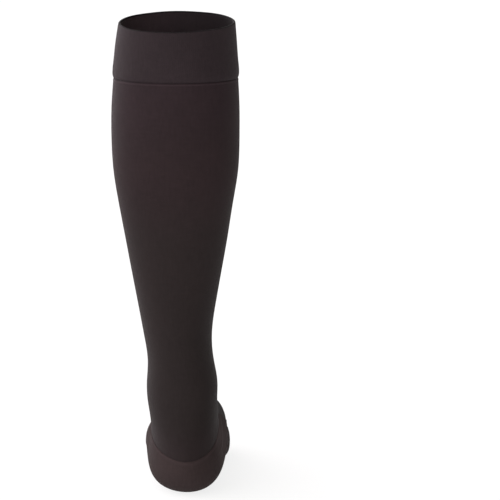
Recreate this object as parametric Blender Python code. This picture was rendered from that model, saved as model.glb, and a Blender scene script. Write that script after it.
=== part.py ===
"""Knee-high compression stocking for the left leg, closed at the toe, filled out as it is worn.

Metres, +Z up. The origin is the middle of the leg opening, where the leg holds the stocking up.
+Y runs forward to the toes, and +X to the big-toe side. Three pieces of knitted cloth, each a thin
closed wall with a narrow seam gap to its neighbours:

  top_band   double, turned-over welt round the leg opening
  leg_tube   seamless tube of the calf and ankle, running on over the instep
  heel_sole  reinforced heel pocket, sole, sides of the foot and closed toe
"""

import bisect
from math import ceil, cos, pi, radians, sin, sqrt

import bmesh
import bpy
import numpy as np

# ---------------------------------------------------------------- driving sizes, in metres
RIM_ABOVE_SOLE = 0.420      # middle of the leg opening above the underside of the heel
LEG_WALL = 0.0012           # cloth of the calf, ankle and instep
SOLE_WALL = 0.0014          # reinforced cloth of the heel, sole and toe
BAND_WALL = 0.0022          # double cloth of the welt
BAND_SWELL = 0.0006         # how far the welt stands proud, just above its seam
SEAM_PINCH = 0.0004         # how far the seam draws the top of the leg tube in
SEAM_GAP = 0.0003           # clear gap between pieces at a seam

COLUMNS = 36                # facets round each section
LEG_ROW = 0.0120            # spacing of rows down the leg
FOOT_ROW = 0.0098           # spacing of rows along the foot
BAND_ROW = 0.0100           # spacing of rows down the welt

INSTEP_EDGE = 60.0          # degrees from the top where the instep cloth meets the sides of the foot
GUSSET_FLARE = 12.0         # extra degrees of instep cloth at the ankle corner
GUSSET_REACH = 0.007        # how quickly that flare dies away along the foot

# ---------------------------------------------------------------- sections of the worn shape
# Millimetres, on the outer face of the cloth. Each row is one closed section: the forward and up
# places of its front (or top) and of its back (or underside), measured from the ankle's axis and
# from the sole; its extreme places on the outer (little-toe) and inner (big-toe) side along X;
# where along front-to-back it is widest; how full its corners are, front and back; how far its
# front and its back lean to the inner side; and how much higher the inner side is than the outer.
COLUMN_NAMES = (
    "front_fwd", "front_up", "back_fwd", "back_up", "outer", "inner",
    "widest", "full_front", "full_back", "lean_front", "lean_back", "roll",
)
SECTIONS = {
    #                fr_fwd  fr_up  bk_fwd  bk_up  outer  inner  wide  full_f full_b  lean_f lean_b roll
    "rim":          ( 54.5, 426.3,  -57.0, 415.6, -50.5,  53.0, 0.50,  0.02,  0.02,   0.5,  -4.0,  0.0),
    "band":         ( 53.0, 401.5,  -61.5, 397.0, -53.8,  54.8, 0.50,  0.02,  0.02,   0.5,  -3.0,  0.0),
    "band_seam":    ( 51.5, 372.6,  -66.0, 371.6, -55.5,  55.9, 0.51,  0.02,  0.02,   0.0,  -1.0,  0.0),
    "calf_top":     ( 50.0, 345.0,  -69.0, 345.0, -56.8,  56.8, 0.52,  0.02,  0.02,   0.0,   0.0,  0.0),
    "calf":         ( 48.5, 318.0,  -70.0, 318.0, -56.8,  56.7, 0.53,  0.01,  0.02,   0.0,   0.0,  0.0),
    "calf_low":     ( 46.5, 290.0,  -68.5, 290.0, -55.3,  55.4, 0.54,  0.00,  0.02,   0.0,   0.0,  0.0),
    "calf_end":     ( 44.0, 262.0,  -64.5, 262.0, -51.1,  51.1, 0.55, -0.01,  0.01,   0.0,   0.0,  0.0),
    "shank_top":    ( 41.5, 232.0,  -58.5, 232.0, -45.7,  46.4, 0.55, -0.02,  0.00,   0.0,   0.0,  0.0),
    "shank":        ( 39.0, 200.0,  -52.0, 200.0, -39.9,  40.7, 0.54, -0.02,  0.00,   0.0,   0.0,  0.0),
    "shank_low":    ( 37.0, 168.0,  -47.0, 168.0, -34.0,  35.2, 0.52, -0.02,  0.02,   0.0,   0.0,  0.0),
    "ankle_top":    ( 36.0, 138.0,  -43.5, 138.0, -28.7,  31.9, 0.52, -0.02,  0.04,   0.0,   0.0,  0.0),
    "ankle":        ( 36.0, 116.0,  -42.5, 115.0, -26.0,  33.9, 0.53, -0.02,  0.05,   0.0,   0.0,  0.0),
    "malleoli":     ( 38.0, 101.0,  -44.5,  95.0, -26.9,  36.8, 0.54, -0.02,  0.06,   0.0,   0.0,  0.0),
    "heel_top":     ( 41.5,  92.0,  -49.0,  74.0, -26.3,  36.6, 0.53,  0.00,  0.05,   0.0,   0.0,  0.0),
    "heel_upper":   ( 46.0,  85.0,  -54.5,  54.0, -24.0,  36.9, 0.51,  0.08,  0.03,   2.0,   0.5,  0.0),
    "heel_back":    ( 51.5,  79.5,  -57.5,  34.0, -23.0,  37.9, 0.51,  0.12, -0.01,   4.5,   2.0,  0.0),
    "heel_round":   ( 57.5,  75.8,  -53.5,  16.5, -23.3,  41.3, 0.53,  0.12,  0.03,   6.5,   2.2,  0.0),
    "heel_under":   ( 64.0,  73.4,  -40.0,   4.0, -24.5,  43.8, 0.56,  0.11,  0.04,   9.0,   1.2,  0.0),
    "heel_sole":    ( 72.0,  69.8,  -20.0,   0.0, -26.0,  44.4, 0.55,  0.06,  0.06,  10.5,   0.5,  2.0),
    "arch":         ( 82.0,  63.6,   14.0,   1.5, -28.3,  42.8, 0.50,  0.04,  0.12,   9.5,  -0.5, -1.0),
    "waist":        ( 94.0,  56.0,   54.0,   3.0, -30.3,  44.0, 0.50,  0.10,  0.14,   8.0,   2.5, -2.0),
    "ball_rear":    (109.0,  46.5,   91.0,   2.0, -31.1,  45.5, 0.55,  0.22,  0.16,   7.0,   5.0, -1.0),
    "ball":         (126.0,  39.5,  118.0,   0.5, -31.1,  46.9, 0.58,  0.20,  0.20,   6.0,   6.0,  0.0),
    "toes_rear":    (144.0,  33.5,  141.0,   1.0, -28.4,  45.5, 0.57,  0.12,  0.14,   5.0,   4.0,  0.0),
    "toes":         (161.0,  29.0,  160.0,   2.0, -21.0,  42.0, 0.56,  0.04,  0.08,   3.0,   0.0,  0.0),
    "toe_end":      (175.0,  24.5,  175.0,   4.0, -11.0,  36.0, 0.55,  0.03,  0.04,   1.0,   0.0,  0.0),
    "toe_tip":      (183.0,  18.0,  183.5,   8.0,   3.0,  26.0, 0.50,  0.00,  0.00,   0.0,   0.0,  0.0),
    "toe_close":    (186.5,  12.8,  186.5,  12.8,  15.0,  15.0, 0.50,  0.00,  0.00,   0.0,   0.0,  0.0),
}
# How each column changes for each millimetre travelled where the toe closes, so the tip is round.
TOE_SLOPES = {"front_up": -1.0, "back_up": 1.0, "outer": 2.2, "inner": -2.2}

# ---------------------------------------------------------------- materials, as the cloth looks
LEG_CLOTH = ("leg_cloth", (0.021, 0.0143, 0.0148), 0.74)
SOLE_CLOTH = ("sole_cloth", (0.031, 0.021, 0.021), 0.80)
BAND_CLOTH = ("band_cloth", (0.025, 0.0175, 0.020), 0.74)


# ---------------------------------------------------------------- the worn form
def travel_along_sections(rows):
    """Distance travelled to each section: the mean of the way down its front and down its back."""
    front = np.hypot(np.diff(rows[:, 0]), np.diff(rows[:, 1]))
    back = np.hypot(np.diff(rows[:, 2]), np.diff(rows[:, 3]))
    return np.concatenate([[0.0], np.cumsum((front + back) / 2)])


def cubic_bends(knots, rows, end_slope):
    """Second derivatives of a cubic spline, free at the rim and with a set slope at the toe."""
    count, step = len(knots), np.diff(knots)
    matrix, right = np.zeros((count, count)), np.zeros_like(rows)
    matrix[0, 0] = 1.0
    for i in range(1, count - 1):
        matrix[i, i - 1 : i + 2] = step[i - 1], 2 * (step[i - 1] + step[i]), step[i]
        right[i] = 6 * ((rows[i + 1] - rows[i]) / step[i] - (rows[i] - rows[i - 1]) / step[i - 1])
    matrix[-1, -2:] = step[-1], 2 * step[-1]
    right[-1] = 6 * (end_slope - (rows[-1] - rows[-2]) / step[-1])
    return np.linalg.solve(matrix, right)


ROWS = np.array(list(SECTIONS.values()))
TRAVEL = travel_along_sections(ROWS)
AT = dict(zip(SECTIONS, TRAVEL))
BENDS = cubic_bends(TRAVEL, ROWS, np.array([TOE_SLOPES.get(name, 0.0) for name in COLUMN_NAMES]))


def section_at(travel):
    """The section's sizes at a distance travelled from the rim, in millimetres."""
    k = min(max(bisect.bisect_left(list(TRAVEL), travel) - 1, 0), len(TRAVEL) - 2)
    step = TRAVEL[k + 1] - TRAVEL[k]
    done, left = travel - TRAVEL[k], TRAVEL[k + 1] - travel
    values = (
        (BENDS[k] * left**3 + BENDS[k + 1] * done**3) / (6 * step)
        + (ROWS[k] / step - BENDS[k] * step / 6) * left
        + (ROWS[k + 1] / step - BENDS[k + 1] * step / 6) * done
    )
    return dict(zip(COLUMN_NAMES, values))


def form_point(travel, degrees):
    """A point of the worn form: 0 degrees is the front or top, 90 the inner side, 180 the back."""
    v = section_at(travel)
    c, s = cos(radians(degrees)), sin(radians(degrees))
    length = max(sqrt((v["front_fwd"] - v["back_fwd"]) ** 2 + (v["front_up"] - v["back_up"]) ** 2), 1e-6)
    fwd = (v["front_fwd"] - v["back_fwd"]) / length
    up = (v["front_up"] - v["back_up"]) / length
    to_front, to_back = length * v["widest"], length * (1 - v["widest"])
    full = (v["full_front"] + v["full_back"]) / 2 + (v["full_front"] - v["full_back"]) / 2 * c
    along = ((to_front + to_back) / 2 * c + (to_front - to_back) / 2 * c * c) * (1 + full * s * s)
    along += v["roll"] * s - to_front
    across = (v["inner"] + v["outer"]) / 2 + (v["inner"] - v["outer"]) / 2 * s * (1 + full * c * c)
    across += v["lean_front"] * c * (1 + c) / 2 - v["lean_back"] * c * (1 - c) / 2
    return np.array(
        [
            across / 1000,
            (v["front_fwd"] + along * fwd) / 1000,
            (v["front_up"] + along * up) / 1000 - RIM_ABOVE_SOLE,
        ]
    )


def column_angle(degrees, travel):
    """Draws the cloth's own columns aside, so that one of them follows the edge of the instep."""
    flare = GUSSET_FLARE * np.exp(-abs(travel - AT["heel_back"]) / (1000 * GUSSET_REACH))
    turn = (degrees + 180) % 360 - 180
    away = abs(turn)
    if away <= INSTEP_EDGE:
        share = sin(away / INSTEP_EDGE * pi / 2) ** 2
    else:
        share = cos((away - INSTEP_EDGE) / (180 - INSTEP_EDGE) * pi / 2) ** 2
    return turn + (flare * share if turn >= 0 else -flare * share)


def cloth_point(travel, degrees):
    return form_point(travel, column_angle(degrees, travel))


def cloth_axes(travel, degrees):
    """Unit vectors along the cloth, round it, and out of it."""
    last = TRAVEL[-1]
    t0, t1 = max(travel - 0.5, 0.0), min(travel + 0.5, last)
    down = cloth_point(t1, degrees) - cloth_point(t0, degrees)
    round_ = cloth_point(travel, degrees + 1) - cloth_point(travel, degrees - 1)
    down, round_ = down / np.linalg.norm(down), round_ / np.linalg.norm(round_)
    out = np.cross(round_, down)
    return down, round_, out / np.linalg.norm(out)


# ---------------------------------------------------------------- rows and columns of the cloth
def steps_between(start, end, spacing):
    """Evenly spaced distances from start to end, in millimetres, about spacing metres apart."""
    count = max(1, ceil((end - start) / (1000 * spacing)))
    return [start + (end - start) * i / count for i in range(count + 1)]


LEG_ROWS = steps_between(AT["band_seam"], AT["heel_back"], LEG_ROW)
INSTEP_ROWS = steps_between(AT["heel_back"], AT["toes_rear"], FOOT_ROW)
TOE_ROWS = steps_between(AT["toes_rear"], AT["toe_tip"], FOOT_ROW * 0.8)
ALL_ROWS = LEG_ROWS + INSTEP_ROWS[1:] + TOE_ROWS[1:]
HEEL_ROW = len(LEG_ROWS) - 1
TOE_ROW = HEEL_ROW + len(INSTEP_ROWS) - 1
TIP_ROW = len(ALL_ROWS)
EDGE_COLUMN = round(INSTEP_EDGE / 360 * COLUMNS)


def signed_column(column):
    return (column + COLUMNS // 2) % COLUMNS - COLUMNS // 2


def in_leg(row, column):
    """Whether the facet between row and row + 1, column and column + 1, is in the darker cloth."""
    if row < HEEL_ROW:
        return True
    return row < TOE_ROW and -EDGE_COLUMN <= signed_column(column) < EDGE_COLUMN


def seam_pinch(travel):
    """How far the band's seam draws the leg in, in metres."""
    return SEAM_PINCH * np.exp(-(travel - AT["band_seam"]) / 8.0)


def seam_shift(row, column, leg):
    """Half a seam gap, along the cloth, that keeps an edge clear of the next piece."""
    side = signed_column(column)
    travel, degrees = ALL_ROWS[row], 360 * column / COLUMNS
    down, round_, _ = cloth_axes(travel, degrees)
    shift, away = np.zeros(3), -1 if leg else 1
    if row == 0:
        shift += down * SEAM_GAP / 2
    if (row == HEEL_ROW and abs(side) >= EDGE_COLUMN) or (row == TOE_ROW and abs(side) <= EDGE_COLUMN):
        shift += away * down * SEAM_GAP / 2
    if abs(side) == EDGE_COLUMN and HEEL_ROW <= row <= TOE_ROW:
        shift += away * (1 if side > 0 else -1) * round_ * SEAM_GAP / 2
    return shift


# ---------------------------------------------------------------- pieces
def material(name, colour, roughness):
    made = bpy.data.materials.new(name)
    made.use_nodes = True
    shader = made.node_tree.nodes["Principled BSDF"]
    shader.inputs["Base Color"].default_value = (*colour, 1.0)
    shader.inputs["Roughness"].default_value = roughness
    shader.inputs["Metallic"].default_value = 0.0
    return made


def add_object(name, mesh_maker, finish):
    mesh = bpy.data.meshes.new(name)
    mesh_maker.normal_update()
    mesh_maker.to_mesh(mesh)
    mesh_maker.free()
    mesh.materials.append(material(*finish))
    mesh.shade_smooth()
    made = bpy.data.objects.new(name, mesh)
    bpy.context.scene.collection.objects.link(made)
    return made


def knitted_shell(name, leg, wall, finish):
    """One piece of the tube: its facets on the worn form, the same facets a wall inside, and its cut edges."""
    maker, outer, inner = bmesh.new(), {}, {}

    def corner(row, column):
        key = (TIP_ROW, 0) if row == TIP_ROW else (row, column % COLUMNS)
        if key not in outer:
            if row == TIP_ROW:
                place, out = form_point(TRAVEL[-1], 0.0), np.array([0.0, 1.0, 0.0])
            else:
                travel, degrees = ALL_ROWS[row], 360 * key[1] / COLUMNS
                out = cloth_axes(travel, degrees)[2]
                place = cloth_point(travel, degrees) + seam_shift(row, key[1], leg)
                if leg and row < HEEL_ROW:
                    place = place - out * seam_pinch(travel)
            outer[key] = maker.verts.new(place)
            inner[outer[key]] = maker.verts.new(place - out * wall)
        return outer[key]

    faces = []
    for row in range(TIP_ROW):
        for column in range(COLUMNS):
            if in_leg(row, column) == leg:
                ring = [corner(row, column), corner(row, column + 1), corner(row + 1, column + 1), corner(row + 1, column)]
                faces.append(maker.faces.new(list(dict.fromkeys(ring))))
    cut_edges = [(loop.vert, loop.link_loop_next.vert) for face in faces for loop in face.loops if loop.edge.is_boundary]
    for face in faces:
        maker.faces.new([inner[vert] for vert in reversed(face.verts)])
    for start, end in cut_edges:
        maker.faces.new([end, start, inner[start], inner[end]])
    return add_object(name, maker, finish)


def band_profile():
    """The welt's closed profile: (distance travelled in mm, height off the form in m) for each point."""
    end = AT["band_seam"] - 1000 * SEAM_GAP / 2
    round_over = 1000 * BAND_WALL / 2
    profile = [(end, -0.0001)]
    for travel in reversed(steps_between(round_over, end - 2.2, BAND_ROW)):
        above = end - travel
        profile.append((travel, BAND_SWELL * (np.exp(-(((above - 4.5) / 14.0) ** 2)))))
    top = profile[-1][1]
    for angle in (45, 90, 135):
        turn = radians(angle)
        profile.append((round_over * (1 - sin(turn)), top - BAND_WALL / 2 * (1 - cos(turn))))
    for travel in steps_between(round_over, end, BAND_ROW * 1.3):
        profile.append((travel, -BAND_WALL))
    return profile


def welt(name, finish):
    """The turned-over band: its profile carried round the leg opening."""
    maker = bmesh.new()
    profile = band_profile()
    rings = []
    for column in range(COLUMNS):
        degrees = 360 * column / COLUMNS
        ring = []
        for travel, off in profile:
            out = cloth_axes(max(travel, 0.5), degrees)[2]
            ring.append(maker.verts.new(cloth_point(travel, degrees) + out * off))
        rings.append(ring)
    count = len(profile)
    for column, ring in enumerate(rings):
        after = rings[(column + 1) % COLUMNS]
        for i in range(count):
            j = (i + 1) % count
            maker.faces.new([ring[i], after[i], after[j], ring[j]])
    bmesh.ops.recalc_face_normals(maker, faces=maker.faces)
    return add_object(name, maker, finish)


def main():
    for old in list(bpy.data.objects):
        bpy.data.objects.remove(old, do_unlink=True)
    holder = bpy.data.objects.new("stocking", None)
    bpy.context.scene.collection.objects.link(holder)
    pieces = [
        welt("top_band", BAND_CLOTH),
        knitted_shell("leg_tube", True, LEG_WALL, LEG_CLOTH),
        knitted_shell("heel_sole", False, SOLE_WALL, SOLE_CLOTH),
    ]
    for piece in pieces:
        piece.parent = holder


main()
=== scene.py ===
"""Knee-high compression stocking for the left leg: its finished look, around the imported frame.

Every size here is in millimetres until it is put into a mesh. The cloth has two coordinates of its
own: the distance travelled from the leg opening down to the toes, and the angle round the tube,
0 at the front or top of the foot, +90 on the big-toe side, 180 at the back or under the foot.
Each piece is a closed thin wall of knit: an outer face, an inner face and the cut edges between.
"""

import bpy
import numpy as np
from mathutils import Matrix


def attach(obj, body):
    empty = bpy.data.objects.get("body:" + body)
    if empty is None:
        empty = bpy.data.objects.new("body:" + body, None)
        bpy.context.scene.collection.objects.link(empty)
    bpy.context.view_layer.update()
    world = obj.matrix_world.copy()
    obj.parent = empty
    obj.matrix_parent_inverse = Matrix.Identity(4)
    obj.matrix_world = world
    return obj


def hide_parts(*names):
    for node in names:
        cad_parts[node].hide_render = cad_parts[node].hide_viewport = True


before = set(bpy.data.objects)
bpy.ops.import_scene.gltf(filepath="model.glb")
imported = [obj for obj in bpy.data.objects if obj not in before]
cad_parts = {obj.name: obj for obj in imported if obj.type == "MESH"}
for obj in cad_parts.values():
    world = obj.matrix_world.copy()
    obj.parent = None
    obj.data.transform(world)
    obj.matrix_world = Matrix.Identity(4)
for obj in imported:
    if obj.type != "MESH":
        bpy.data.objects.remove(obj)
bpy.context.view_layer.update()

# ---------------------------------------------------------------- driving sizes, as in the CAD
RIM_ABOVE_SOLE = 420.0      # middle of the leg opening above the underside of the heel
LEG_WALL = 1.2              # cloth of the calf, ankle and instep
SOLE_WALL = 1.4             # reinforced cloth of the heel, sole and toe
BAND_WALL = 2.2             # double cloth of the welt
BAND_SWELL = 0.6            # how far the welt stands proud, just above its seam
SEAM_PINCH = 0.4            # how far the seam draws the top of the leg tube in
INSTEP_EDGE = 60.0          # degrees from the top where the instep cloth meets the sides of the foot
GUSSET_FLARE = 12.0         # extra degrees of instep cloth at the ankle corner
GUSSET_REACH = 7.0          # how quickly that flare dies away along the foot

# ---------------------------------------------------------------- sizes of the fine surface
BUTT_GAP = 0.04             # hairline between two pieces of cloth at a seam
LEG_SPACING = 2.1           # rows down the leg, where nothing is finer
SOLE_SPACING = 1.9          # rows along the foot
BAND_SPACING = 1.9          # rows down the welt
LEG_COLUMNS = 192           # columns round the leg
BAND_COLUMNS = 240          # columns round the welt
INSIDE_SHIFT = 8.0          # whole turns between the knit's coordinates on its right and wrong sides
WALES = 400                 # knitted columns round the tube, one for each needle
COURSE = 0.72               # height of one knitted row
SOLE_PROUD = 0.22           # the reinforced cloth is this much thicker to the outside
SEAM_LOOPS = 200            # linking loops round the seam of the welt
TOE_SEAM = 554.0            # travel at which the toe's closing seam crosses the top of the toes

COLUMN_NAMES = (
    "front_fwd", "front_up", "back_fwd", "back_up", "outer", "inner",
    "widest", "full_front", "full_back", "lean_front", "lean_back", "roll",
)
SECTIONS = {
    #                fr_fwd  fr_up  bk_fwd  bk_up  outer  inner  wide  full_f full_b  lean_f lean_b roll
    "rim":          ( 54.5, 426.3,  -57.0, 415.6, -50.5,  53.0, 0.50,  0.02,  0.02,   0.5,  -4.0,  0.0),
    "band":         ( 53.0, 401.5,  -61.5, 397.0, -53.8,  54.8, 0.50,  0.02,  0.02,   0.5,  -3.0,  0.0),
    "band_seam":    ( 51.5, 372.6,  -66.0, 371.6, -55.5,  55.9, 0.51,  0.02,  0.02,   0.0,  -1.0,  0.0),
    "calf_top":     ( 50.0, 345.0,  -69.0, 345.0, -56.8,  56.8, 0.52,  0.02,  0.02,   0.0,   0.0,  0.0),
    "calf":         ( 48.5, 318.0,  -70.0, 318.0, -56.8,  56.7, 0.53,  0.01,  0.02,   0.0,   0.0,  0.0),
    "calf_low":     ( 46.5, 290.0,  -68.5, 290.0, -55.3,  55.4, 0.54,  0.00,  0.02,   0.0,   0.0,  0.0),
    "calf_end":     ( 44.0, 262.0,  -64.5, 262.0, -51.1,  51.1, 0.55, -0.01,  0.01,   0.0,   0.0,  0.0),
    "shank_top":    ( 41.5, 232.0,  -58.5, 232.0, -45.7,  46.4, 0.55, -0.02,  0.00,   0.0,   0.0,  0.0),
    "shank":        ( 39.0, 200.0,  -52.0, 200.0, -39.9,  40.7, 0.54, -0.02,  0.00,   0.0,   0.0,  0.0),
    "shank_low":    ( 37.0, 168.0,  -47.0, 168.0, -34.0,  35.2, 0.52, -0.02,  0.02,   0.0,   0.0,  0.0),
    "ankle_top":    ( 36.0, 138.0,  -43.5, 138.0, -28.7,  31.9, 0.52, -0.02,  0.04,   0.0,   0.0,  0.0),
    "ankle":        ( 36.0, 116.0,  -42.5, 115.0, -26.0,  33.9, 0.53, -0.02,  0.05,   0.0,   0.0,  0.0),
    "malleoli":     ( 38.0, 101.0,  -44.5,  95.0, -26.9,  36.8, 0.54, -0.02,  0.06,   0.0,   0.0,  0.0),
    "heel_top":     ( 41.5,  92.0,  -49.0,  74.0, -26.3,  36.6, 0.53,  0.00,  0.05,   0.0,   0.0,  0.0),
    "heel_upper":   ( 46.0,  85.0,  -54.5,  54.0, -24.0,  36.9, 0.51,  0.08,  0.03,   2.0,   0.5,  0.0),
    "heel_back":    ( 51.5,  79.5,  -57.5,  34.0, -23.0,  37.9, 0.51,  0.12, -0.01,   4.5,   2.0,  0.0),
    "heel_round":   ( 57.5,  75.8,  -53.5,  16.5, -23.3,  41.3, 0.53,  0.12,  0.03,   6.5,   2.2,  0.0),
    "heel_under":   ( 64.0,  73.4,  -40.0,   4.0, -24.5,  43.8, 0.56,  0.11,  0.04,   9.0,   1.2,  0.0),
    "heel_sole":    ( 72.0,  69.8,  -20.0,   0.0, -26.0,  44.4, 0.55,  0.06,  0.06,  10.5,   0.5,  2.0),
    "arch":         ( 82.0,  63.6,   14.0,   1.5, -28.3,  42.8, 0.50,  0.04,  0.12,   9.5,  -0.5, -1.0),
    "waist":        ( 94.0,  56.0,   54.0,   3.0, -30.3,  44.0, 0.50,  0.10,  0.14,   8.0,   2.5, -2.0),
    "ball_rear":    (109.0,  46.5,   91.0,   2.0, -31.1,  45.5, 0.55,  0.22,  0.16,   7.0,   5.0, -1.0),
    "ball":         (126.0,  39.5,  118.0,   0.5, -31.1,  46.9, 0.58,  0.20,  0.20,   6.0,   6.0,  0.0),
    "toes_rear":    (144.0,  33.5,  141.0,   1.0, -28.4,  45.5, 0.57,  0.12,  0.14,   5.0,   4.0,  0.0),
    "toes":         (161.0,  29.0,  160.0,   2.0, -21.0,  42.0, 0.56,  0.04,  0.08,   3.0,   0.0,  0.0),
    "toe_end":      (175.0,  24.5,  175.0,   4.0, -11.0,  36.0, 0.55,  0.03,  0.04,   1.0,   0.0,  0.0),
    "toe_tip":      (183.0,  18.0,  183.5,   8.0,   3.0,  26.0, 0.50,  0.00,  0.00,   0.0,   0.0,  0.0),
    "toe_close":    (186.5,  12.8,  186.5,  12.8,  15.0,  15.0, 0.50,  0.00,  0.00,   0.0,   0.0,  0.0),
}
TOE_SLOPES = {"front_up": -1.0, "back_up": 1.0, "outer": 2.2, "inner": -2.2}


# ---------------------------------------------------------------- camera, floor and light
def camera():
    """Seen from behind and a little above, far off, as the pair is shown, with this one to the left."""
    data = bpy.data.cameras.new("camera")
    data.sensor_width = 36.0
    data.lens = 227.16
    data.clip_start, data.clip_end = 0.1, 200.0
    made = bpy.data.objects.new("camera", data)
    made.location = (0.066, -2.8, 0.20)
    made.rotation_euler = (np.radians(90.0 - 8.2136), 0.0, 0.0)
    bpy.context.scene.collection.objects.link(made)
    bpy.context.scene.camera = made


def plain_floor():
    mesh = bpy.data.meshes.new("floor")
    reach, level = 60.0, -RIM_ABOVE_SOLE / 1000 - 0.0008
    mesh.from_pydata([(-reach, -reach, level), (reach, -reach, level), (reach, reach, level), (-reach, reach, level)], [], [(0, 1, 2, 3)])
    made = bpy.data.objects.new("floor", mesh)
    bpy.context.scene.collection.objects.link(made)
    finish = bpy.data.materials.new("pale_floor")
    finish.use_nodes = True
    shader = finish.node_tree.nodes["Principled BSDF"]
    shader.inputs["Base Color"].default_value = (0.22, 0.22, 0.22, 1.0)    # a translucent floor, lit from under as well
    shader.inputs["Roughness"].default_value = 0.95
    shader.inputs["Specular IOR Level"].default_value = 0.0
    shader.inputs["Emission Color"].default_value = (1.0, 1.0, 1.0, 1.0)
    shader.inputs["Emission Strength"].default_value = 0.81
    mesh.materials.append(finish)


def math_node(tree, kind, *values, clamp=False):
    node = tree.nodes.new("ShaderNodeMath")
    node.operation, node.use_clamp = kind, clamp
    for socket, value in zip(node.inputs, values):
        if isinstance(value, (int, float)):
            socket.default_value = value
        else:
            tree.links.new(value, socket)
    return node.outputs[0]


# The studio's soft lights, each a row: the way to it, how narrow it is, its strength and colour.
SOFT_LIGHTS = (
    ((-0.707,  0.707, 0.0), 6.0, 4.90, (1.04, 0.98, 1.01)),   # large one, left and behind
    ((-0.707, -0.707, 0.0), 6.0, 2.40, (1.00, 1.00, 1.04)),   # left of the camera
    ((-0.170, -0.985, 0.0), 4.0, 1.72, (1.00, 0.99, 0.91)),   # broad, around the camera
    (( 0.300,  0.500, 0.8), 3.0, 0.12, (1.00, 1.00, 1.00)),   # weak, from above on the toes
    (( 0.450,  0.893, 0.0), 7.0, 0.24, (1.05, 1.00, 0.86)),   # weak, right and behind
)


def studio():
    """A white tent lit by soft lights, plain white where the camera sees past the floor."""
    scene = bpy.context.scene
    scene.view_settings.view_transform = "Standard"
    world = bpy.data.worlds.new("studio")
    scene.world = world
    world.use_nodes = True
    tree = world.node_tree
    tree.nodes.clear()
    place = tree.nodes.new("ShaderNodeTexCoord")
    split = tree.nodes.new("ShaderNodeSeparateXYZ")
    tree.links.new(place.outputs["Generated"], split.inputs[0])
    total = None
    for way, narrow, strength, colour in SOFT_LIGHTS:
        facing = math_node(tree, "MULTIPLY", split.outputs[0], way[0])
        facing = math_node(tree, "MULTIPLY_ADD", split.outputs[1], way[1], facing)
        facing = math_node(tree, "MULTIPLY_ADD", split.outputs[2], way[2], facing)
        half = math_node(tree, "MULTIPLY_ADD", facing, 0.5, 0.5, clamp=True)
        glow = tree.nodes.new("ShaderNodeBackground")
        glow.inputs["Color"].default_value = (*colour, 1.0)
        tree.links.new(math_node(tree, "MULTIPLY", math_node(tree, "POWER", half, narrow), strength), glow.inputs["Strength"])
        if total is None:
            total = glow.outputs[0]
        else:
            both = tree.nodes.new("ShaderNodeAddShader")
            tree.links.new(total, both.inputs[0])
            tree.links.new(glow.outputs[0], both.inputs[1])
            total = both.outputs[0]
    white = tree.nodes.new("ShaderNodeBackground")
    white.inputs["Color"].default_value = (1.0, 1.0, 1.0, 1.0)
    path = tree.nodes.new("ShaderNodeLightPath")
    seen = tree.nodes.new("ShaderNodeMixShader")
    tree.links.new(path.outputs["Is Camera Ray"], seen.inputs["Fac"])
    tree.links.new(total, seen.inputs[1])
    tree.links.new(white.outputs[0], seen.inputs[2])
    out = tree.nodes.new("ShaderNodeOutputWorld")
    tree.links.new(seen.outputs[0], out.inputs["Surface"])


# ---------------------------------------------------------------- the worn form, as in the CAD
def travel_along_sections(rows):
    """Distance travelled to each section: the mean of the way down its front and down its back."""
    front = np.hypot(np.diff(rows[:, 0]), np.diff(rows[:, 1]))
    back = np.hypot(np.diff(rows[:, 2]), np.diff(rows[:, 3]))
    return np.concatenate([[0.0], np.cumsum((front + back) / 2)])


def cubic_bends(knots, rows, end_slope):
    """Second derivatives of a cubic spline, free at the rim and with a set slope at the toe."""
    count, step = len(knots), np.diff(knots)
    matrix, right = np.zeros((count, count)), np.zeros_like(rows)
    matrix[0, 0] = 1.0
    for i in range(1, count - 1):
        matrix[i, i - 1 : i + 2] = step[i - 1], 2 * (step[i - 1] + step[i]), step[i]
        right[i] = 6 * ((rows[i + 1] - rows[i]) / step[i] - (rows[i] - rows[i - 1]) / step[i - 1])
    matrix[-1, -2:] = step[-1], 2 * step[-1]
    right[-1] = 6 * (end_slope - (rows[-1] - rows[-2]) / step[-1])
    return np.linalg.solve(matrix, right)


ROWS = np.array(list(SECTIONS.values()))
TRAVEL = travel_along_sections(ROWS)
AT = dict(zip(SECTIONS, TRAVEL))
BENDS = cubic_bends(TRAVEL, ROWS, np.array([TOE_SLOPES.get(name, 0.0) for name in COLUMN_NAMES]))


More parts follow.
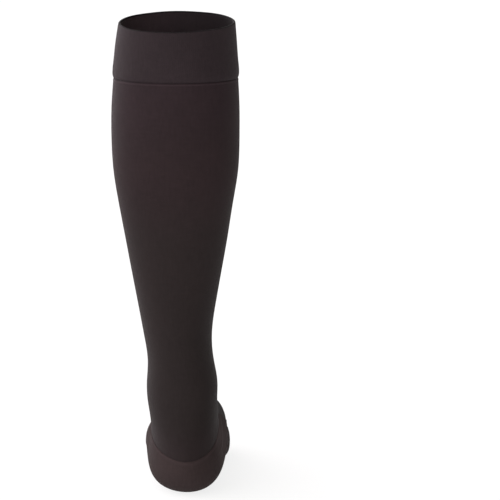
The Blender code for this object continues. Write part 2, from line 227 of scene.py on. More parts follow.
def form(travel, degrees):
    """Points of the worn form, in millimetres, the origin at the middle of the leg opening."""
    travel, degrees = np.broadcast_arrays(np.asarray(travel, float), np.asarray(degrees, float))
    k = np.clip(np.searchsorted(TRAVEL, travel) - 1, 0, len(TRAVEL) - 2)
    step = (TRAVEL[k + 1] - TRAVEL[k])[..., None]
    done, left = (travel - TRAVEL[k])[..., None], (TRAVEL[k + 1] - travel)[..., None]
    values = (
        (BENDS[k] * left**3 + BENDS[k + 1] * done**3) / (6 * step)
        + (ROWS[k] / step - BENDS[k] * step / 6) * left
        + (ROWS[k + 1] / step - BENDS[k + 1] * step / 6) * done
    )
    v = {name: values[..., i] for i, name in enumerate(COLUMN_NAMES)}
    c, s = np.cos(np.radians(degrees)), np.sin(np.radians(degrees))
    length = np.maximum(np.hypot(v["front_fwd"] - v["back_fwd"], v["front_up"] - v["back_up"]), 1e-3)
    fwd = (v["front_fwd"] - v["back_fwd"]) / length
    up = (v["front_up"] - v["back_up"]) / length
    to_front, to_back = length * v["widest"], length * (1 - v["widest"])
    full = (v["full_front"] + v["full_back"]) / 2 + (v["full_front"] - v["full_back"]) / 2 * c
    along = ((to_front + to_back) / 2 * c + (to_front - to_back) / 2 * c * c) * (1 + full * s * s)
    along = along + v["roll"] * s - to_front
    across = (v["inner"] + v["outer"]) / 2 + (v["inner"] - v["outer"]) / 2 * s * (1 + full * c * c)
    across = across + v["lean_front"] * c * (1 + c) / 2 - v["lean_back"] * c * (1 - c) / 2
    return np.stack([across, v["front_fwd"] + along * fwd, v["front_up"] + along * up - RIM_ABOVE_SOLE], -1)


def signed(degrees):
    return (np.asarray(degrees, float) + 180.0) % 360.0 - 180.0


def cloth(travel, degrees):
    """Points of the form on the cloth's own columns, which follow the edge of the instep."""
    flare = GUSSET_FLARE * np.exp(-np.abs(travel - AT["heel_back"]) / GUSSET_REACH)
    turn = signed(degrees)
    away = np.abs(turn)
    front = np.sin(np.minimum(away / INSTEP_EDGE, 1) * np.pi / 2) ** 2
    back = np.cos(np.maximum(away - INSTEP_EDGE, 0) / (180 - INSTEP_EDGE) * np.pi / 2) ** 2
    share = np.where(away <= INSTEP_EDGE, front, back)
    return form(travel, turn + np.where(turn >= 0, 1, -1) * flare * share)


def cloth_frame(travel, degrees):
    """The cloth's points, and the unit vectors along it, round it and out of it."""
    travel, degrees = np.broadcast_arrays(np.asarray(travel, float), np.asarray(degrees, float))
    start, end = np.maximum(travel - 0.4, 0.0), np.minimum(travel + 0.4, TRAVEL[-1] - 0.05)
    start = np.minimum(start, end - 0.2)
    down = cloth(end, degrees) - cloth(start, degrees)
    round_ = cloth(travel, degrees + 0.8) - cloth(travel, degrees - 0.8)
    down /= np.maximum(np.linalg.norm(down, axis=-1, keepdims=True), 1e-9)
    round_ /= np.maximum(np.linalg.norm(round_, axis=-1, keepdims=True), 1e-9)
    out = np.cross(round_, down)
    out /= np.maximum(np.linalg.norm(out, axis=-1, keepdims=True), 1e-9)
    return cloth(travel, degrees), down, round_, out


def girth_scale(travel):
    """Millimetres of cloth for each degree round the tube, at a distance travelled."""
    ring = form(np.asarray(travel, float)[..., None], np.arange(0.0, 361.0, 5.0))
    return np.linalg.norm(np.diff(ring, axis=-2), axis=-1).sum(-1) / 360.0


# ---------------------------------------------------------------- relief of the cloth
def bell(distance, width):
    return np.exp(-((distance / width) ** 2))


def rise(x):
    """0 below 0, 1 above 1, smooth between."""
    x = np.clip(x, 0.0, 1.0)
    return x * x * (3 - 2 * x)


# Soft creases, each a row: where it starts and ends (travel, degrees), how far its middle bows
# along the cloth, its height (negative for a trough) and its half-width, in millimetres.
CREASE_COLUMNS = ("travel_a", "degrees_a", "travel_b", "degrees_b", "bow", "height", "width")
LEG_CREASES = (
    # across the bend at the front of the ankle
    (300.0, -46.0, 304.0,  30.0,  2.5, -0.60, 3.8),
    (311.5, -28.0, 309.0,  56.0, -1.5,  0.65, 3.4),
    (320.0, -60.0, 325.0,  24.0,  2.0, -0.95, 3.6),
    (329.5, -30.0, 327.0,  64.0,  1.0,  0.85, 3.0),
    (338.5, -56.0, 341.0,  46.0, -2.0, -0.85, 3.6),
    (349.5, -28.0, 347.0,  54.0,  1.5,  0.55, 3.2),
    # faint ones on the instep
    (392.0, -44.0, 399.0,  12.0,  1.5, -0.35, 3.6),
    (418.0,  -8.0, 412.0,  46.0, -1.0, -0.30, 4.0),
    (500.0, -50.0, 503.0,  38.0,  1.5, -0.40, 3.4),
    (512.0, -30.0, 510.0,  52.0, -1.0,  0.35, 3.0),
)
SOLE_CREASES = (
    # big-toe side, between heel and ball
    (373.5,  74.0, 379.5, 106.0,  1.0,  0.70, 1.6),
    (379.5,  68.0, 386.5, 104.0,  1.0, -0.60, 2.0),
    (386.0,  66.0, 393.5,  99.0,  1.2,  0.80, 1.8),
    (398.5,  64.0, 404.0,  92.0,  1.0, -0.40, 2.6),
    (468.0,  66.0, 472.0,  96.0,  1.0,  0.16, 3.4),
    (489.0,  64.0, 494.0, 100.0,  1.0, -0.16, 3.4),
    # little-toe side
    (376.0, -72.0, 383.0,-102.0,  1.0,  0.35, 2.2),
    (391.0, -66.0, 396.0, -94.0,  1.0, -0.35, 2.6),
    (428.0, -64.0, 434.0, -98.0,  1.0, -0.30, 3.0),
    (486.0, -64.0, 491.0,-104.0,  1.0,  0.40, 3.2),
    # under the arch, and across the sole behind the toes
    (436.0, 128.0, 444.0, 214.0,  3.0, -0.35, 4.0),
    (462.0, 120.0, 458.0, 190.0, -2.0, -0.30, 4.0),
    (527.0, 130.0, 524.0, 228.0,  2.0, -0.35, 3.2),
)


def creases(table, travel, degrees):
    """Height of all the creases of a table at each point."""
    total = np.zeros(np.shape(travel))
    for row in table:
        v = dict(zip(CREASE_COLUMNS, row))
        middle = (v["travel_a"] + v["travel_b"]) / 2
        scale = float(girth_scale(middle))
        centre = (v["degrees_a"] + v["degrees_b"]) / 2
        x = signed(degrees - centre) * scale
        y = travel - middle
        ax, ay = signed(v["degrees_b"] - v["degrees_a"]) * scale, v["travel_b"] - v["travel_a"]
        length = np.hypot(ax, ay)
        along = (x * ax + y * ay) / length
        across = (y * ax - x * ay) / length
        across = across - v["bow"] * (1 - (2 * along / length) ** 2)
        ends = rise((length / 2 - np.abs(along)) / (0.32 * length) + 0.5)
        uneven = 1 + 0.22 * np.sin(along * 0.21 + middle)
        fold = bell(across, v["width"]) - 0.35 * bell(across - 1.9 * v["width"], 1.1 * v["width"])
        total += v["height"] * uneven * ends * fold
    return total


def undulation(travel, degrees):
    """The slight unevenness of cloth on a leg."""
    a = np.radians(degrees)
    return (
        0.10 * np.sin(travel / 23.0 + 2.0 * a + 0.4)
        + 0.08 * np.sin(travel / 37.0 - 3.0 * a + 1.9)
        + 0.06 * np.sin(travel / 14.0 + 1.0 * a + 3.1) * np.sin(4.0 * a + 0.7)
    )


def leg_relief(travel, degrees):
    below = travel - AT["band_seam"]
    side = (INSTEP_EDGE - np.abs(signed(degrees))) * girth_scale(travel)
    inside = np.where(travel < AT["heel_back"], AT["heel_back"] - travel, side)
    inside = np.where(np.abs(signed(degrees)) < INSTEP_EDGE, np.where(travel < AT["heel_back"], 99.0, side), inside)
    inside = np.minimum(inside, np.where(np.abs(signed(degrees)) < INSTEP_EDGE, AT["toes_rear"] - travel, 99.0))
    height = -SEAM_PINCH * np.exp(-below / 8.0)                     # drawn in by the welt's seam
    height = height - 0.50 * bell(below, 0.60)                      # the groove of the seam
    height = height + 0.26 * bell(below - 1.9, 0.60)                # first row of loops below it
    height = height - 0.16 * np.exp(-np.maximum(inside, 0.0) / 1.1) # sinks to the reinforced cloth
    return height + creases(LEG_CREASES, travel, degrees) + undulation(travel, degrees) * rise(below / 25.0)


def sole_relief(travel, degrees):
    away = np.abs(signed(degrees))
    scale = girth_scale(travel)
    to_ring = travel - AT["heel_back"]
    to_side = (away - INSTEP_EDGE) * scale
    from_edge = np.where(
        away >= INSTEP_EDGE,
        np.minimum(to_ring, np.hypot(np.maximum(travel - AT["toes_rear"], 0.0), to_side)),
        travel - AT["toes_rear"],
    )
    height = SOLE_PROUD * rise(from_edge / 2.4)
    height = height + 0.34 * bell(from_edge - 0.95, 0.62)           # the first, fuller courses
    height = height - 0.10 * bell(from_edge - 2.9, 0.9)
    near = bell(travel - 388.0, 5.5) * rise((away - 100.0) / 14.0) * rise((168.0 - away) / 14.0)
    height = height + 0.10 * near * np.cos((travel - 388.0) * 2 * np.pi / 2.1)  # courses that show at the heel
    ridge = bell(travel - TOE_SEAM - 1.8 * np.cos(np.radians(signed(degrees))), 1.0)
    height = height + 0.42 * ridge * rise((104.0 - away) / 34.0)    # the toe's closing seam
    height = height + creases(SOLE_CREASES, travel, degrees)
    fade = rise((TRAVEL[-1] - travel) / 18.0)
    return height * np.maximum(fade, 0.15) + undulation(travel, degrees) * rise(to_ring / 12.0) * fade


# ---------------------------------------------------------------- meshes
def graded(start, end, spacing, first=(), last=()):
    """Distances from start to end, about spacing apart, with finer ones listed at either end."""
    head = [start + step for step in first]
    tail = [end - step for step in reversed(last)]
    low, high = (head[-1] if head else start), (tail[0] if tail else end)
    count = max(1, int(np.ceil((high - low) / spacing)))
    middle = [low + (high - low) * i / count for i in range(count + 1)]
    return np.array((head[:-1] if head else []) + middle + (tail[1:] if tail else []))


def mesh_object(name, points, faces, maps, finish, smooth_angle=48.0):
    mesh = bpy.data.meshes.new(name)
    mesh.from_pydata((points / 1000.0).tolist(), [], faces)
    layer = mesh.uv_layers.new(name="knit")
    layer.data.foreach_set("uv", np.asarray(maps, np.float32).ravel())
    mesh.materials.append(finish)
    mesh.shade_smooth()
    mesh.set_sharp_from_angle(angle=np.radians(smooth_angle))
    made = bpy.data.objects.new(name, mesh)
    bpy.context.scene.collection.objects.link(made)
    return made


def knit_map(travel, degrees):
    """The knit's own coordinates: once round the tube, and along it in lengths of 600 mm.

    The wrong side of the cloth, inside the tube, has the same ones moved by INSIDE_SHIFT turns.
    """
    return np.stack([degrees / 360.0 + 0.5, travel / 600.0], -1)


def grid_shell(name, rows, columns, closed, kept, relief, wall, finish, pole=False):
    """A closed thin wall on the form: kept(travel, degrees) says which cells are cloth."""
    travel, degrees = np.meshgrid(rows, columns, indexing="ij")
    places, _, _, out = cloth_frame(travel, degrees)
    outer = places + out * relief(travel, degrees)[..., None]
    inner = outer - out * wall
    height, width = travel.shape
    points = np.concatenate([outer.reshape(-1, 3), inner.reshape(-1, 3)])
    half = height * width
    maps_at = knit_map(travel, degrees).reshape(-1, 2)

    spans = width if closed else width - 1
    r, c = np.meshgrid(np.arange(height - 1), np.arange(spans), indexing="ij")
    after = (c + 1) % width
    mid_travel = (rows[r] + rows[r + 1]) / 2
    step = np.where(c == width - 1, columns[0] + 360.0 - columns[-1], columns[after] - columns[c])
    mid_degrees = columns[c] + step / 2
    mask = kept(mid_travel, mid_degrees)
    r, c, after = r[mask], c[mask], after[mask]
    quads = np.stack([r * width + c, r * width + after, (r + 1) * width + after, (r + 1) * width + c], -1)
    maps = maps_at[quads]
    wrapped = (after == 0) & (c > 0)
    maps[wrapped, 1:3, 0] += 1.0
    faces, face_maps = quads.tolist(), list(maps)
    if pole:
        tip, out_tip = form(TRAVEL[-1], 0.0), np.array([0.0, 1.0, 0.0])
        points = np.concatenate([points, [tip, tip - out_tip * wall]])
        last = (height - 1) * width
        for i in range(width):
            j = (i + 1) % width
            faces.append([last + i, last + j, 2 * half])
            u0 = columns[i] / 360.0 + 0.5
            u1 = u0 + (columns[j] - columns[i]) % 360.0 / 360.0
            v0, v1 = rows[-1] / 600.0, TRAVEL[-1] / 600.0
            face_maps.append(np.array([[u0, v0], [u1, v0], [(u0 + u1) / 2, v1]]))

    def within(vertex):
        return 2 * half + 1 if vertex == 2 * half else vertex + half

    edges = {}
    for face, corners in zip(faces, face_maps):
        for i in range(len(face)):
            j = (i + 1) % len(face)
            edges[(face[i], face[j])] = (corners[i], corners[j])
    cuts = [(pair, at) for pair, at in edges.items() if (pair[1], pair[0]) not in edges]
    inner_faces = [[within(v) for v in reversed(face)] for face in faces]
    inner_maps = [corners[::-1] + [INSIDE_SHIFT, 0.0] for corners in face_maps]
    cut_faces = [[end, start, within(start), within(end)] for (start, end), _ in cuts]
    cut_maps = [np.array([b, a, a, b]) for _, (a, b) in cuts]
    faces = faces + inner_faces + cut_faces
    face_maps = face_maps + inner_maps + cut_maps

    used = np.unique(np.concatenate([np.asarray(face) for face in faces]))
    renumber = np.full(len(points), -1)
    renumber[used] = np.arange(len(used))
    faces = [renumber[face].tolist() for face in faces]
    return mesh_object(name, points[used], faces, np.concatenate(face_maps), finish)


def leg_piece(finish):
    seam, heel, toes = AT["band_seam"] + BUTT_GAP / 2, AT["heel_back"], AT["toes_rear"]
    rows = np.concatenate([
        graded(seam, heel - BUTT_GAP / 2, LEG_SPACING, (0, 0.3, 0.6, 0.9, 1.2, 1.5, 1.8, 2.2, 2.7, 3.4, 4.3, 5.5), (0, 0.5, 1.1, 2.0)),
        graded(heel + 1.0, toes - BUTT_GAP / 2, LEG_SPACING * 1.2, (0, 1.2), (0, 0.6, 1.4)),
    ])
    fine = np.array([0.0, 0.7, 1.6])
    full = np.arange(0.0, 360.0, 360.0 / LEG_COLUMNS)
    full = full[(np.abs(np.abs(signed(full)) - INSTEP_EDGE) > 1.7)]
    gap = 0.03
    edge = np.concatenate([INSTEP_EDGE - gap - fine, 360.0 - INSTEP_EDGE + gap + fine])
    columns = np.sort(np.concatenate([full, edge]))

    def kept(travel, degrees):
        return (travel < heel - BUTT_GAP / 2 + 1e-6) | (np.abs(signed(degrees)) < INSTEP_EDGE - gap)

    return grid_shell("leg_knit_tube", rows, columns, True, kept, leg_relief, LEG_WALL, finish)


def sole_piece(finish):
    heel, toes = AT["heel_back"] + BUTT_GAP / 2, AT["toes_rear"] + BUTT_GAP / 2
    near_seam = np.arange(TOE_SEAM - 3.0, TOE_SEAM + 6.0, 0.5)
    foot = graded(heel, toes, SOLE_SPACING, (0, 0.3, 0.6, 0.9, 1.2, 1.5, 1.9, 2.4, 3.1, 4.0), (0, 0.5, 1.1))
    foot = foot[(foot < 378) | (foot > 399)]
    foot = np.sort(np.concatenate([foot, np.arange(378.0, 399.2, 0.7)]))
    toe = graded(toes, TOE_SEAM - 3.0, SOLE_SPACING, (0, 0.3, 0.6, 0.9, 1.2, 1.5, 1.9, 2.4, 3.1, 4.0))
    tip = graded(TOE_SEAM + 6.0, TRAVEL[-1] - 0.35, 1.5, (0,), (0, 0.5, 1.0, 1.7))
    rows = np.concatenate([foot, toe[1:-1], near_seam, tip])
    full = np.arange(0.0, 360.0, 360.0 / LEG_COLUMNS)
    full = full[(np.abs(np.abs(signed(full)) - INSTEP_EDGE) > 4.0)]
    fine = np.array([0.0, 0.4, 0.8, 1.2, 1.7, 2.3, 3.2])
    edge = np.concatenate([INSTEP_EDGE + fine, 360.0 - INSTEP_EDGE - fine, [INSTEP_EDGE - 2.0, 360.0 - INSTEP_EDGE + 2.0]])
    columns = np.sort(np.concatenate([full, edge]))

    def kept(travel, degrees):
        return (travel > toes) | (np.abs(signed(degrees)) > INSTEP_EDGE)

    return grid_shell("heel_sole_knit", rows, columns, True, kept, sole_relief, SOLE_WALL, finish, pole=True)


def band_profile():
    """The welt's closed profile, seam to fold to seam: (travel, height off the form) for each point."""
    end, half = AT["band_seam"] - BUTT_GAP / 2, BAND_WALL / 2
    above = np.array([0.0, 0.25, 0.5, 0.8, 1.1, 1.5, 2.0, 2.7, 3.6, 4.8, 6.3])
    high = graded(half + 0.02, end - above[-1], BAND_SPACING)[::-1]
    outer = np.concatenate([end - above, high[1:]])
    rise_up = end - outer
    off = (BAND_SWELL + 0.15) * bell(rise_up - 5.8, 10.0) - 1.05 * np.exp(-rise_up / 1.5)   # rolls in to its seam
    off = off + 0.10 * bell(outer - 3.2, 1.1)                # the fold stands a little full
    top = off[-1]
    turn = np.radians(np.arange(20.0, 180.0, 20.0))
    fold = [(half * (1 - np.sin(a)), top - half * (1 - np.cos(a))) for a in turn]
    inner = graded(half + 0.02, end, BAND_SPACING * 1.4, (0, 0.5, 1.0, 1.6, 2.4))
    sunk = -BAND_WALL - 0.25 * bell(inner - half - 1.0, 0.8)  # the crease that runs round under the fold, inside
    return [*zip(outer, off), *fold, *zip(inner, sunk)], len(outer) + len(fold) // 2


def band_piece(finish):
    columns = np.arange(0.0, 360.0, 360.0 / BAND_COLUMNS)
    profile, turned = band_profile()
    rings = []
    for travel, off in profile:
        places, _, _, out = cloth_frame(np.full(len(columns), max(travel, 0.0)), columns)
        _, _, _, steady = cloth_frame(np.full(len(columns), max(travel, 0.6)), columns)
        wave = 0.14 * np.sin(np.radians(columns) * 3 + 1.0) + 0.09 * np.sin(np.radians(columns) * 7 + 2.4)
        lift = wave * bell(travel, 9.0)
        uneven = 0.6 * undulation(travel + 9.0, columns) * (1 - bell(AT["band_seam"] - travel, 6.0))
        place = places + steady * (off + uneven)[:, None]
        place[:, 2] += lift
        rings.append(place)
    points = np.stack(rings, 1).reshape(-1, 3)
    count, faces, maps = len(profile), [], []
    for i in range(len(columns)):
        j = (i + 1) % len(columns)
        for k in range(count):
            m = (k + 1) % count
            faces.append([i * count + k, j * count + k, j * count + m, i * count + m])
            side = INSIDE_SHIFT if k >= turned else 0.0
            u0, u1 = columns[i] / 360.0 + 0.5 + side, (columns[i] + 360.0 / BAND_COLUMNS) / 360.0 + 0.5 + side
            v0, v1 = profile[k][0] / 600.0, profile[m][0] / 600.0
            maps.append([[u0, v0], [u1, v0], [u1, v1], [u0, v1]])
    # outer rows run upward here, so the ring of each facet is turned to face outward
    first = points[faces[2]]
    normal = np.cross(first[1] - first[0], first[3] - first[0])
    if normal @ (first[0] * [1, 1, 0]) < 0:
        faces = [face[::-1] for face in faces]
        maps = [corners[::-1] for corners in maps]
    return mesh_object("top_band_knit", points, faces, np.array(maps).reshape(-1, 2), finish)


def loop_row(name, paths, finish, long, wide, tall, slant):
    """Small half-sunk loops of yarn, each an egg laid along its path at a slant."""
    rings, sides = 5, 8
    points, faces, maps = [], [], []
    for place, ahead, out, at in paths:
        side = np.cross(out, ahead)
        turn = np.radians(slant)
        fore = ahead * np.cos(turn) + side * np.sin(turn)
        across = np.cross(out, fore)
        base = len(points)
        points.append(place - fore * long / 2)
        for k in range(1, rings):
            reach = -np.cos(np.pi * k / rings)
            wide_here = np.sqrt(1 - reach**2)
            for m in range(sides):
                a = 2 * np.pi * m / sides
                points.append(
                    place + fore * reach * long / 2
                    + (across * np.cos(a) * wide / 2 + out * np.sin(a) * tall / 2) * wide_here
                )
        points.append(place + fore * long / 2)
        last = len(points) - 1
        for m in range(sides):
            n = (m + 1) % sides
            faces.append([base, base + 1 + n, base + 1 + m])
            for k in range(rings - 2):
                low, high = base + 1 + k * sides, base + 1 + (k + 1) * sides
                faces.append([low + m, low + n, high + n, high + m])
            top = base + 1 + (rings - 2) * sides
            faces.append([top + m, top + n, last])
        size = sides * 6 + sides * (rings - 2) * 4
        maps.extend([list(at)] * size)
    return mesh_object(name, np.array(points), faces, np.array(maps), finish, smooth_angle=80.0)


def band_loops(finish):
    """The row of linking loops that joins the welt to the leg, in the bottom of its groove."""
    degrees = np.arange(SEAM_LOOPS) * 360.0 / SEAM_LOOPS
    travel = np.full(SEAM_LOOPS, AT["band_seam"] + 0.15)
    places, _, round_, out = cloth_frame(travel, degrees)
    depth = leg_relief(travel + 0.1, degrees) - 0.12
    places = places + out * depth[:, None]
    at = knit_map(travel, degrees)
    return loop_row("band_seam_loops", zip(places, round_, out, at), finish, 1.75, 0.55, 0.55, 14.0)


def toe_loops(finish):
    """Overcast stitches along the toe's closing seam."""
    degrees = np.arange(-84.0, 84.1, 3.0)
    travel = TOE_SEAM + 1.8 * np.cos(np.radians(degrees))
    places, _, round_, out = cloth_frame(travel, degrees)
    places = places + out * (sole_relief(travel, degrees) - 0.05)[:, None]
    at = knit_map(travel, degrees)
    return loop_row("toe_seam_loops", zip(places, round_, out, at), finish, 2.1, 0.6, 0.5, 58.0)


# ---------------------------------------------------------------- cloth, from its yarn up
def knit(
    name, pale, dark, roughness, sheen, specular, wales, course, loop_depth,
    rib=0.0, ribs=200, streak=0.1, tone_and_painted_shade_bands=None, painted_shade_and_highlight_lines=(), cloth_tone_and_painted_light_spots=(), fold=None,
    painted_inside_shade=(0.62, 0.61, 0.62), painted_through_light=0.0,
):
    """Plain knit in its own coordinates: loops in columns, heathered yarn, soft nap.

    tone_and_painted_shade_bands shades wide zones along the cloth, with painted shade among them, and
    painted_shade_and_highlight_lines narrow ones, painted shadows and painted highlights: travel, half-width, shade.
    cloth_tone_and_painted_light_spots are soft round ones of painted light and painted shade, one also of paler
    cloth: travel, degrees, their reach along and round, shade. fold gives how far a painted shadow along the tightly
    turned edge reaches down the right and the wrong side. painted_inside_shade is the painted shade of the whole wrong
    side. painted_through_light is how much painted light makes the wrong side paler on the little-toe side, and
    painted shade darker on the other.
    """
    made = bpy.data.materials.new(name)
    made.use_nodes = True
    tree = made.node_tree
    nodes, links = tree.nodes, tree.links
    shader = nodes["Principled BSDF"]
    place = nodes.new("ShaderNodeUVMap")
    place.uv_map = "knit"
    split = nodes.new("ShaderNodeSeparateXYZ")
    links.new(place.outputs[0], split.inputs[0])
    u, v = split.outputs[0], split.outputs[1]

    # one knitted loop: two legs of a V in each column, repeated at every course
    column = math_node(tree, "FRACT", math_node(tree, "MULTIPLY", u, float(wales)))
    from_middle = math_node(tree, "ABSOLUTE", math_node(tree, "MULTIPLY_ADD", column, 2.0, -1.0))
    row = math_node(tree, "MULTIPLY", v, 600.0 / course)
    slanted = math_node(tree, "MULTIPLY_ADD", from_middle, 0.55, row)
    wave = math_node(tree, "SINE", math_node(tree, "MULTIPLY", slanted, 2 * np.pi))
    body = math_node(tree, "SUBTRACT", 1.0, math_node(tree, "POWER", from_middle, 2.4))
    loops = math_node(tree, "MULTIPLY", body, math_node(tree, "MULTIPLY_ADD", wave, 0.32, 0.68))

    # the wrong side: rows of small arches, each half a column out of step with the next
    inside = math_node(tree, "GREATER_THAN", u, INSIDE_SHIFT / 2)
    arch = math_node(tree, "MULTIPLY_ADD", math_node(tree, "COSINE", math_node(tree, "MULTIPLY", u, 2 * np.pi * wales)), 0.22, row)
    purl = math_node(tree, "MULTIPLY_ADD", math_node(tree, "SINE", math_node(tree, "MULTIPLY", arch, 2 * np.pi)), 0.38, 0.5)
    sides = nodes.new("ShaderNodeMix")
    links.new(inside, sides.inputs["Factor"])
    links.new(loops, sides.inputs["A"])
    links.new(purl, sides.inputs["B"])
    loops = sides.outputs["Result"]
    height = loops
    if rib:
        ribbed = math_node(tree, "COSINE", math_node(tree, "MULTIPLY", u, 2 * np.pi * ribs))
        height = math_node(tree, "MULTIPLY_ADD", ribbed, rib, loops)

    # yarn that varies along its length, and the cloth's larger unevenness
    stretch = nodes.new("ShaderNodeMapping")
    stretch.inputs["Scale"].default_value = (wales / 2.6, 60.0, 1.0)
    links.new(place.outputs[0], stretch.inputs["Vector"])
    streaks = nodes.new("ShaderNodeTexNoise")
    streaks.inputs["Scale"].default_value = 1.0
    streaks.inputs["Detail"].default_value = 3.0
    links.new(stretch.outputs[0], streaks.inputs["Vector"])
    courses = nodes.new("ShaderNodeMapping")
    courses.inputs["Scale"].default_value = (36.0, 230.0, 1.0)
    links.new(place.outputs[0], courses.inputs["Vector"])
    rows_noise = nodes.new("ShaderNodeTexNoise")
    rows_noise.inputs["Scale"].default_value = 1.0
    rows_noise.inputs["Detail"].default_value = 2.0
    links.new(courses.outputs[0], rows_noise.inputs["Vector"])
    body_place = nodes.new("ShaderNodeTexCoord")
    patches = nodes.new("ShaderNodeTexNoise")
    patches.inputs["Scale"].default_value = 26.0
    patches.inputs["Detail"].default_value = 3.0
    patches.inputs["Roughness"].default_value = 0.6
    links.new(body_place.outputs["Object"], patches.inputs["Vector"])

    tone = math_node(tree, "MULTIPLY_ADD", math_node(tree, "SUBTRACT", streaks.outputs["Fac"], 0.5), streak * 2.4, 0.5)
    tone = math_node(tree, "MULTIPLY_ADD", math_node(tree, "SUBTRACT", rows_noise.outputs["Fac"], 0.5), streak * 1.6, tone)
    tone = math_node(tree, "MULTIPLY_ADD", math_node(tree, "SUBTRACT", patches.outputs["Fac"], 0.5), 0.55, tone, clamp=True)
    heather = nodes.new("ShaderNodeMix")
    heather.data_type = "RGBA"
    heather.inputs["A"].default_value = (*dark, 1.0)
    heather.inputs["B"].default_value = (*pale, 1.0)
    links.new(tone, heather.inputs["Factor"])
    colour_out = heather.outputs["Result"]
    # wide zones along the cloth: on the leg darker and more neutral towards the ankle, with painted shade on the instep
    # below it
    if tone_and_painted_shade_bands:
        ramp = nodes.new("ShaderNodeValToRGB")
        ramp.color_ramp.interpolation = "EASE"
        while len(ramp.color_ramp.elements) < len(tone_and_painted_shade_bands):
            ramp.color_ramp.elements.new(0.5)
        for element, (at, shade) in zip(ramp.color_ramp.elements, tone_and_painted_shade_bands):
            element.position, element.color = at / 600.0, (*shade, 1.0)
        links.new(v, ramp.inputs["Fac"])
        tint = nodes.new("ShaderNodeMix")
        tint.data_type, tint.blend_type = "RGBA", "MULTIPLY"
        tint.inputs["Factor"].default_value = 1.0
        links.new(colour_out, tint.inputs["A"])
        links.new(ramp.outputs["Color"], tint.inputs["B"])
        colour_out = tint.outputs["Result"]

    def shaded(colour, factor, shade):
        """The colour times a shade, as far as the factor says."""
        mixed = nodes.new("ShaderNodeMix")
        mixed.data_type, mixed.blend_type = "RGBA", "MULTIPLY"
        mixed.inputs["B"].default_value = (*shade, 1.0)
        links.new(factor, mixed.inputs["Factor"])
        links.new(colour, mixed.inputs["A"])
        return mixed.outputs["Result"]

    travel = math_node(tree, "MULTIPLY", v, 600.0)
    # narrow painted shadows and painted highlights across the cloth
    for at, half_width, shade in painted_shade_and_highlight_lines:
        away = math_node(tree, "ABSOLUTE", math_node(tree, "SUBTRACT", travel, at))
        near = math_node(tree, "SUBTRACT", 1.0, math_node(tree, "DIVIDE", away, half_width), clamp=True)
        near = math_node(tree, "SMOOTH_MIN", near, 1.0, 0.2)
        colour_out = shaded(colour_out, near, shade)
    # soft round patches of painted light and painted shade, one also of paler cloth
    for at, turn, reach_along, reach_round, shade in cloth_tone_and_painted_light_spots:
        along = math_node(tree, "DIVIDE", math_node(tree, "SUBTRACT", travel, at), reach_along)
        aside = math_node(tree, "DIVIDE", math_node(tree, "SUBTRACT", u, turn / 360.0 + 0.5), reach_round / 360.0)
        away = math_node(tree, "MULTIPLY_ADD", aside, aside, math_node(tree, "MULTIPLY", along, along))
        near = math_node(tree, "POWER", math_node(tree, "SUBTRACT", 1.0, away, clamp=True), 1.5)
        colour_out = shaded(colour_out, near, shade)
    # painted shade: the whole wrong side, inside the tube, is darkened
    colour_out = shaded(colour_out, inside, painted_inside_shade)
    # painted light and painted shade on the wrong side: paler towards the little-toe side, as if lit from outside
    # through the cloth, darker towards the big-toe side
    if painted_through_light:
        sideways = math_node(tree, "SINE", math_node(tree, "MULTIPLY", u, 2 * np.pi))
        paler = math_node(tree, "MULTIPLY", math_node(tree, "MAXIMUM", sideways, 0.0), inside)
        darker = math_node(tree, "MULTIPLY", math_node(tree, "MAXIMUM", math_node(tree, "MULTIPLY", sideways, -1.0), 0.0), inside)
        colour_out = shaded(colour_out, paler, (1 + painted_through_light,) * 3)
        colour_out = shaded(colour_out, darker, (1 - 0.4 * painted_through_light,) * 3)
    # painted shadow: a dark strip along the welt's turned edge, reaching further down the wrong side
    if fold:
        reach = math_node(tree, "MULTIPLY_ADD", inside, fold[1] - fold[0], fold[0])
        past = math_node(tree, "DIVIDE", travel, reach, clamp=True)
        turned = math_node(tree, "SUBTRACT", 1.0, math_node(tree, "POWER", past, 3.0))
        colour_out = shaded(colour_out, turned, (0.12, 0.11, 0.12))
    # painted shade in the gaps between the knitted loops
    painted_groove_shade = nodes.new("ShaderNodeMix")
    painted_groove_shade.data_type, painted_groove_shade.blend_type = "RGBA", "MULTIPLY"
    painted_groove_shade.inputs["B"].default_value = (0.62, 0.62, 0.64, 1.0)
    links.new(math_node(tree, "MULTIPLY", math_node(tree, "SUBTRACT", 1.0, loops), 0.6, clamp=True), painted_groove_shade.inputs["Factor"])
    links.new(colour_out, painted_groove_shade.inputs["A"])
    links.new(painted_groove_shade.outputs["Result"], shader.inputs["Base Color"])

    rough = math_node(tree, "MULTIPLY_ADD", math_node(tree, "SUBTRACT", patches.outputs["Fac"], 0.5), 0.16, roughness)
    rough = math_node(tree, "MULTIPLY_ADD", loops, -0.05, rough, clamp=True)
    links.new(rough, shader.inputs["Roughness"])
    shader.inputs["Specular IOR Level"].default_value = specular
    shader.inputs["Sheen Weight"].default_value = sheen
    shader.inputs["Sheen Roughness"].default_value = 0.42
    shader.inputs["Sheen Tint"].default_value = (1.0, 0.93, 0.93, 1.0)

    fuzz = nodes.new("ShaderNodeTexNoise")
    fuzz.inputs["Scale"].default_value = 900.0
    fuzz.inputs["Detail"].default_value = 2.0
    links.new(body_place.outputs["Object"], fuzz.inputs["Vector"])
    height = math_node(tree, "MULTIPLY_ADD", fuzz.outputs["Fac"], 0.35, height)
    relief = nodes.new("ShaderNodeBump")
    relief.inputs["Strength"].default_value = 0.6
    relief.inputs["Distance"].default_value = loop_depth / 1000.0
    links.new(height, relief.inputs["Height"])
    links.new(relief.outputs[0], shader.inputs["Normal"])
    return made


# ---------------------------------------------------------------- the stocking
camera()
plain_floor()
studio()

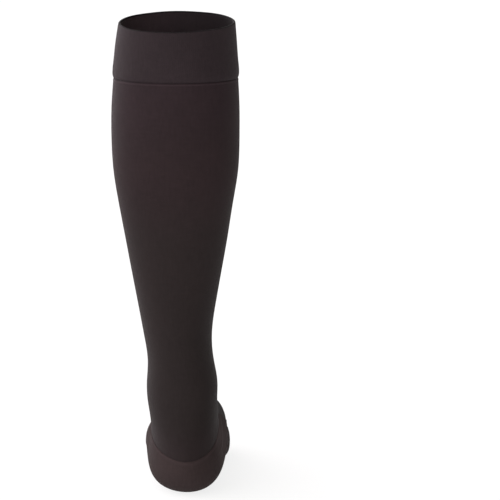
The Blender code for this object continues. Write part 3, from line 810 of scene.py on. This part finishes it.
leg_cloth = knit(
    "leg_cloth", pale=(0.0285, 0.0192, 0.0195), dark=(0.0142, 0.0095, 0.0097), roughness=0.74, sheen=0.02, specular=0.06,
    wales=WALES, course=COURSE, loop_depth=0.16, streak=0.20,
    # darker towards the ankle; the stops at 374 and 410 are painted shade on the instep below the ankle
    tone_and_painted_shade_bands=(
        (50.0, (1.08, 1.00, 1.14)), (130.0, (1.06, 0.99, 1.06)), (205.0, (0.94, 1.00, 0.99)), (300.0, (0.89, 0.98, 0.96)),
        (345.0, (0.86, 0.95, 0.93)), (366.0, (0.93, 0.96, 0.98)), (374.0, (0.72, 0.76, 0.76)), (410.0, (0.72, 0.76, 0.76)),
        (450.0, (0.95, 0.99, 1.00)),
    ),
    # a painted shadow in the seam's groove, and a painted highlight on the first row of loops below it
    painted_shade_and_highlight_lines=((AT["band_seam"] + 0.3, 0.8, (0.80, 0.80, 0.80)), (AT["band_seam"] + 1.9, 0.9, (1.44, 1.50, 1.50))),
    # painted shade on the instep beside the ankle, on the big-toe side
    cloth_tone_and_painted_light_spots=((384.0, 50.0, 26.0, 20.0, (0.74, 0.71, 0.71)),),
)
sole_cloth = knit(
    "sole_cloth", pale=(0.0440, 0.0308, 0.0308), dark=(0.0250, 0.0174, 0.0174), roughness=0.84, sheen=0.005, specular=0.03,
    wales=WALES, course=COURSE * 1.25, loop_depth=0.24, streak=0.24,
    tone_and_painted_shade_bands=((368.0, (1.0, 1.0, 1.0)), (384.0, (1.0, 1.0, 1.0)), (400.0, (0.97, 0.98, 0.95))),
    # a painted highlight along the raised edge of the reinforced cloth
    painted_shade_and_highlight_lines=((AT["heel_back"] + 1.5, 1.6, (1.16, 1.14, 1.16)),),
    # a pale patch on the big-toe side of the foot, partly paler cloth and partly painted light, and painted shade along
    # the heel's little-toe edge
    cloth_tone_and_painted_light_spots=((382.0, 88.0, 26.0, 36.0, (1.72, 1.88, 1.85)), (400.0, 264.0, 30.0, 18.0, (0.85, 0.85, 0.85))),
)
band_cloth = knit(
    "band_cloth", pale=(0.0328, 0.0228, 0.0258), dark=(0.0176, 0.0122, 0.0139), roughness=0.74, sheen=0.02, specular=0.06,
    wales=WALES, course=COURSE, loop_depth=0.20, rib=0.35, ribs=WALES // 2, streak=0.22,
    # a painted shadow along the welt's seam
    painted_shade_and_highlight_lines=((AT["band_seam"] - 0.1, 0.8, (0.85, 0.85, 0.85)),),
    # a painted shadow at the turned edge, painted shade over the whole inside, and painted light making its little-toe
    # side paler
    fold=(1.2, 1.7), painted_inside_shade=(0.74, 0.72, 0.73), painted_through_light=1.6,
)

band = band_piece(band_cloth)
leg = leg_piece(leg_cloth)
sole = sole_piece(sole_cloth)
band_stitches = band_loops(band_cloth)
toe_stitches = toe_loops(sole_cloth)

for piece, node, slot in ((band, "top_band", "band_knit"), (leg, "leg_tube", "leg_knit"), (sole, "heel_sole", "sole_knit")):
    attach(piece, "root")
    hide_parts(node)
for piece, slot in ((band_stitches, "band_knit"), (toe_stitches, "sole_knit")):
    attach(piece, "root")
